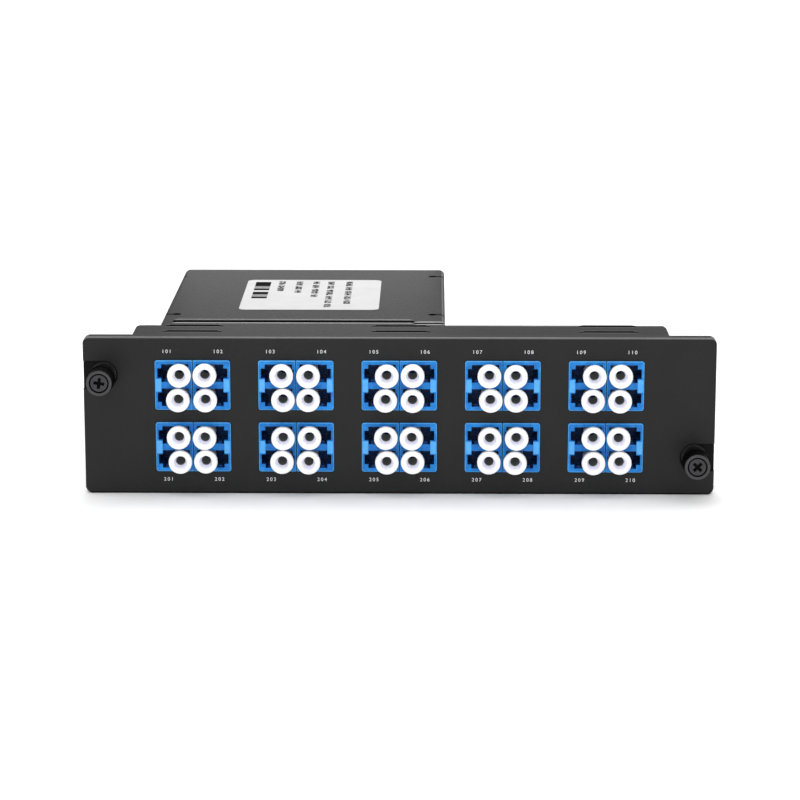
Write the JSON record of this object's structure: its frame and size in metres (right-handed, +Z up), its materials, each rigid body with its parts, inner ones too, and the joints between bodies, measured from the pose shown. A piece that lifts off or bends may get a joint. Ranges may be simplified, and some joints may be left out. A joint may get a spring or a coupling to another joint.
{
  "type": "dwdm multiplexer module",
  "caption": "Plug-in fibre multiplexer module: wide black front panel with blue duplex ports under white dust caps, captive thumbscrews and a stepped sheet housing behind.",
  "frame": {"origin": "centre of the panel's rear face, midway between the two captive screws", "axes": "+X to the right and +Z up as seen from the front, +Y from the panel into the housing"},
  "size_m": [0.16, 0.1294, 0.0406],
  "materials": {
    "panel_paint": "fine satin black powder coat",
    "housing_paint": "fine satin black powder coat",
    "black_screw_steel": "black oxide",
    "black_knob_metal": "black anodised, knurled",
    "spring_steel": "bright",
    "blue_adapter_plastic": "moulded satin",
    "white_cap_plastic": "moulded satin",
    "zirconia": "ground",
    "plug_plastic": "moulded satin",
    "filter_glass": "sealed tubes",
    "rack_plastic": "moulded matte",
    "fibre_jacket": "smooth buffer",
    "white_print": "screen-printed ink",
    "label_paper": "coated label",
    "label_ink": "printed"
  },
  "bodies": {
    "root": {"front_panel": "panel_paint", "housing_tray": "housing_paint", "top_cover": "housing_paint", "housing_screws": "black_screw_steel", "duplex_adapters": "blue_adapter_plastic", "sleeve_holders": "blue_adapter_plastic", "split_sleeves": "zirconia", "pigtail_plugs": "plug_plastic", "screw_ferrules": "black_screw_steel", "channel_filters": "filter_glass", "filter_rack": "rack_plastic", "fibre_harness": "fibre_jacket", "left_return_spring": "spring_steel", "right_return_spring": "spring_steel"},
    "left_retainer": {"left_retaining_ring": "spring_steel"},
    "left_thumbscrew": {"left_knob": "black_knob_metal", "left_captive_screw": "black_screw_steel"},
    "right_retainer": {"right_retaining_ring": "spring_steel"},
    "right_thumbscrew": {"right_knob": "black_knob_metal", "right_captive_screw": "black_screw_steel"},
    "dust_cap_101a": {"dust_cap_101a": "white_cap_plastic"},
    "dust_cap_101b": {"dust_cap_101b": "white_cap_plastic"},
    "dust_cap_102a": {"dust_cap_102a": "white_cap_plastic"},
    "dust_cap_102b": {"dust_cap_102b": "white_cap_plastic"},
    "dust_cap_103a": {"dust_cap_103a": "white_cap_plastic"},
    "dust_cap_103b": {"dust_cap_103b": "white_cap_plastic"},
    "dust_cap_104a": {"dust_cap_104a": "white_cap_plastic"},
    "dust_cap_104b": {"dust_cap_104b": "white_cap_plastic"},
    "dust_cap_105a": {"dust_cap_105a": "white_cap_plastic"},
    "dust_cap_105b": {"dust_cap_105b": "white_cap_plastic"},
    "dust_cap_106a": {"dust_cap_106a": "white_cap_plastic"},
    "dust_cap_106b": {"dust_cap_106b": "white_cap_plastic"},
    "dust_cap_107a": {"dust_cap_107a": "white_cap_plastic"},
    "dust_cap_107b": {"dust_cap_107b": "white_cap_plastic"},
    "dust_cap_108a": {"dust_cap_108a": "white_cap_plastic"},
    "dust_cap_108b": {"dust_cap_108b": "white_cap_plastic"},
    "dust_cap_109a": {"dust_cap_109a": "white_cap_plastic"},
    "dust_cap_109b": {"dust_cap_109b": "white_cap_plastic"},
    "dust_cap_110a": {"dust_cap_110a": "white_cap_plastic"},
    "dust_cap_110b": {"dust_cap_110b": "white_cap_plastic"},
    "dust_cap_201a": {"dust_cap_201a": "white_cap_plastic"},
    "dust_cap_201b": {"dust_cap_201b": "white_cap_plastic"},
    "dust_cap_202a": {"dust_cap_202a": "white_cap_plastic"},
    "dust_cap_202b": {"dust_cap_202b": "white_cap_plastic"},
    "dust_cap_203a": {"dust_cap_203a": "white_cap_plastic"},
    "dust_cap_203b": {"dust_cap_203b": "white_cap_plastic"},
    "dust_cap_204a": {"dust_cap_204a": "white_cap_plastic"},
    "dust_cap_204b": {"dust_cap_204b": "white_cap_plastic"},
    "dust_cap_205a": {"dust_cap_205a": "white_cap_plastic"},
    "dust_cap_205b": {"dust_cap_205b": "white_cap_plastic"},
    "dust_cap_206a": {"dust_cap_206a": "white_cap_plastic"},
    "dust_cap_206b": {"dust_cap_206b": "white_cap_plastic"},
    "dust_cap_207a": {"dust_cap_207a": "white_cap_plastic"},
    "dust_cap_207b": {"dust_cap_207b": "white_cap_plastic"},
    "dust_cap_208a": {"dust_cap_208a": "white_cap_plastic"},
    "dust_cap_208b": {"dust_cap_208b": "white_cap_plastic"},
    "dust_cap_209a": {"dust_cap_209a": "white_cap_plastic"},
    "dust_cap_209b": {"dust_cap_209b": "white_cap_plastic"},
    "dust_cap_210a": {"dust_cap_210a": "white_cap_plastic"},
    "dust_cap_210b": {"dust_cap_210b": "white_cap_plastic"}
  },
  "joints": [
    {"name": "left_screw_push", "type": "slide", "parent": "root", "child": "left_retainer", "axis": [0, 1, 0], "range_m": [0, 0.003], "stiffness_N_per_m": 200, "springref_m": -0.004, "deforming": ["left_return_spring"]},
    {"name": "left_screw_turn", "type": "hinge", "parent": "left_retainer", "child": "left_thumbscrew", "pos_m": [-0.0748, 0, 0.01055], "axis": [0, 1, 0], "continuous": true},
    {"name": "right_screw_push", "type": "slide", "parent": "root", "child": "right_retainer", "axis": [0, 1, 0], "range_m": [0, 0.003], "stiffness_N_per_m": 200, "springref_m": -0.004, "deforming": ["right_return_spring"]},
    {"name": "right_screw_turn", "type": "hinge", "parent": "right_retainer", "child": "right_thumbscrew", "pos_m": [0.0748, 0, -0.01055], "axis": [0, 1, 0], "continuous": true},
    {"name": "cap_pull_101a", "type": "slide", "parent": "root", "child": "dust_cap_101a", "axis": [0, -1, 0], "range_m": [0, 0.012]},
    {"name": "cap_pull_101b", "type": "slide", "parent": "root", "child": "dust_cap_101b", "axis": [0, -1, 0], "range_m": [0, 0.012]},
    {"name": "cap_pull_102a", "type": "slide", "parent": "root", "child": "dust_cap_102a", "axis": [0, -1, 0], "range_m": [0, 0.012]},
    {"name": "cap_pull_102b", "type": "slide", "parent": "root", "child": "dust_cap_102b", "axis": [0, -1, 0], "range_m": [0, 0.012]},
    {"name": "cap_pull_103a", "type": "slide", "parent": "root", "child": "dust_cap_103a", "axis": [0, -1, 0], "range_m": [0, 0.012]},
    {"name": "cap_pull_103b", "type": "slide", "parent": "root", "child": "dust_cap_103b", "axis": [0, -1, 0], "range_m": [0, 0.012]},
    {"name": "cap_pull_104a", "type": "slide", "parent": "root", "child": "dust_cap_104a", "axis": [0, -1, 0], "range_m": [0, 0.012]},
    {"name": "cap_pull_104b", "type": "slide", "parent": "root", "child": "dust_cap_104b", "axis": [0, -1, 0], "range_m": [0, 0.012]},
    {"name": "cap_pull_105a", "type": "slide", "parent": "root", "child": "dust_cap_105a", "axis": [0, -1, 0], "range_m": [0, 0.012]},
    {"name": "cap_pull_105b", "type": "slide", "parent": "root", "child": "dust_cap_105b", "axis": [0, -1, 0], "range_m": [0, 0.012]},
    {"name": "cap_pull_106a", "type": "slide", "parent": "root", "child": "dust_cap_106a", "axis": [0, -1, 0], "range_m": [0, 0.012]},
    {"name": "cap_pull_106b", "type": "slide", "parent": "root", "child": "dust_cap_106b", "axis": [0, -1, 0], "range_m": [0, 0.012]},
    {"name": "cap_pull_107a", "type": "slide", "parent": "root", "child": "dust_cap_107a", "axis": [0, -1, 0], "range_m": [0, 0.012]},
    {"name": "cap_pull_107b", "type": "slide", "parent": "root", "child": "dust_cap_107b", "axis": [0, -1, 0], "range_m": [0, 0.012]},
    {"name": "cap_pull_108a", "type": "slide", "parent": "root", "child": "dust_cap_108a", "axis": [0, -1, 0], "range_m": [0, 0.012]},
    {"name": "cap_pull_108b", "type": "slide", "parent": "root", "child": "dust_cap_108b", "axis": [0, -1, 0], "range_m": [0, 0.012]},
    {"name": "cap_pull_109a", "type": "slide", "parent": "root", "child": "dust_cap_109a", "axis": [0, -1, 0], "range_m": [0, 0.012]},
    {"name": "cap_pull_109b", "type": "slide", "parent": "root", "child": "dust_cap_109b", "axis": [0, -1, 0], "range_m": [0, 0.012]},
    {"name": "cap_pull_110a", "type": "slide", "parent": "root", "child": "dust_cap_110a", "axis": [0, -1, 0], "range_m": [0, 0.012]},
    {"name": "cap_pull_110b", "type": "slide", "parent": "root", "child": "dust_cap_110b", "axis": [0, -1, 0], "range_m": [0, 0.012]},
    {"name": "cap_pull_201a", "type": "slide", "parent": "root", "child": "dust_cap_201a", "axis": [0, -1, 0], "range_m": [0, 0.012]},
    {"name": "cap_pull_201b", "type": "slide", "parent": "root", "child": "dust_cap_201b", "axis": [0, -1, 0], "range_m": [0, 0.012]},
    {"name": "cap_pull_202a", "type": "slide", "parent": "root", "child": "dust_cap_202a", "axis": [0, -1, 0], "range_m": [0, 0.012]},
    {"name": "cap_pull_202b", "type": "slide", "parent": "root", "child": "dust_cap_202b", "axis": [0, -1, 0], "range_m": [0, 0.012]},
    {"name": "cap_pull_203a", "type": "slide", "parent": "root", "child": "dust_cap_203a", "axis": [0, -1, 0], "range_m": [0, 0.012]},
    {"name": "cap_pull_203b", "type": "slide", "parent": "root", "child": "dust_cap_203b", "axis": [0, -1, 0], "range_m": [0, 0.012]},
    {"name": "cap_pull_204a", "type": "slide", "parent": "root", "child": "dust_cap_204a", "axis": [0, -1, 0], "range_m": [0, 0.012]},
    {"name": "cap_pull_204b", "type": "slide", "parent": "root", "child": "dust_cap_204b", "axis": [0, -1, 0], "range_m": [0, 0.012]},
    {"name": "cap_pull_205a", "type": "slide", "parent": "root", "child": "dust_cap_205a", "axis": [0, -1, 0], "range_m": [0, 0.012]},
    {"name": "cap_pull_205b", "type": "slide", "parent": "root", "child": "dust_cap_205b", "axis": [0, -1, 0], "range_m": [0, 0.012]},
    {"name": "cap_pull_206a", "type": "slide", "parent": "root", "child": "dust_cap_206a", "axis": [0, -1, 0], "range_m": [0, 0.012]},
    {"name": "cap_pull_206b", "type": "slide", "parent": "root", "child": "dust_cap_206b", "axis": [0, -1, 0], "range_m": [0, 0.012]},
    {"name": "cap_pull_207a", "type": "slide", "parent": "root", "child": "dust_cap_207a", "axis": [0, -1, 0], "range_m": [0, 0.012]},
    {"name": "cap_pull_207b", "type": "slide", "parent": "root", "child": "dust_cap_207b", "axis": [0, -1, 0], "range_m": [0, 0.012]},
    {"name": "cap_pull_208a", "type": "slide", "parent": "root", "child": "dust_cap_208a", "axis": [0, -1, 0], "range_m": [0, 0.012]},
    {"name": "cap_pull_208b", "type": "slide", "parent": "root", "child": "dust_cap_208b", "axis": [0, -1, 0], "range_m": [0, 0.012]},
    {"name": "cap_pull_209a", "type": "slide", "parent": "root", "child": "dust_cap_209a", "axis": [0, -1, 0], "range_m": [0, 0.012]},
    {"name": "cap_pull_209b", "type": "slide", "parent": "root", "child": "dust_cap_209b", "axis": [0, -1, 0], "range_m": [0, 0.012]},
    {"name": "cap_pull_210a", "type": "slide", "parent": "root", "child": "dust_cap_210a", "axis": [0, -1, 0], "range_m": [0, 0.012]},
    {"name": "cap_pull_210b", "type": "slide", "parent": "root", "child": "dust_cap_210b", "axis": [0, -1, 0], "range_m": [0, 0.012]}
  ]
}
